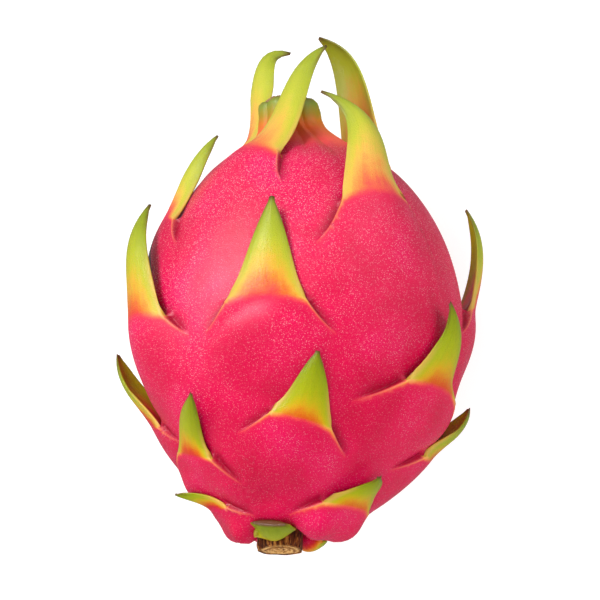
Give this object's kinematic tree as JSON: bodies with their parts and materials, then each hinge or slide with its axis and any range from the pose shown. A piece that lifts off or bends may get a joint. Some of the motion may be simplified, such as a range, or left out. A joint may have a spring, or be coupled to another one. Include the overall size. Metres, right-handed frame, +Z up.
{
  "type": "dragon fruit",
  "caption": "Ripe red-skinned dragon fruit lying on its side, with green-tipped leafy bracts, a cut woody stem stub and a dried flower scar in its crown.",
  "frame": {"origin": "under the middle of the part's box, on the surface that it lies on", "axes": "+Z up, +Y along the fruit from its stem to its crown, +X to the right when looking along +Y"},
  "size_m": [0.104, 0.1538, 0.0915],
  "materials": {
    "fruit_skin": "waxy, finely dimpled pink-red rind, turning coral, yellow and green along its bracts",
    "stem_wood": "dry brown bark with a ringed cut face",
    "dried_flower": "dry tan remnant, matt and fibrous"
  },
  "bodies": {
    "root": {"fruit": "fruit_skin", "stem_stub": "stem_wood", "flower_scar": "dried_flower"}
  },
  "joints": []
}
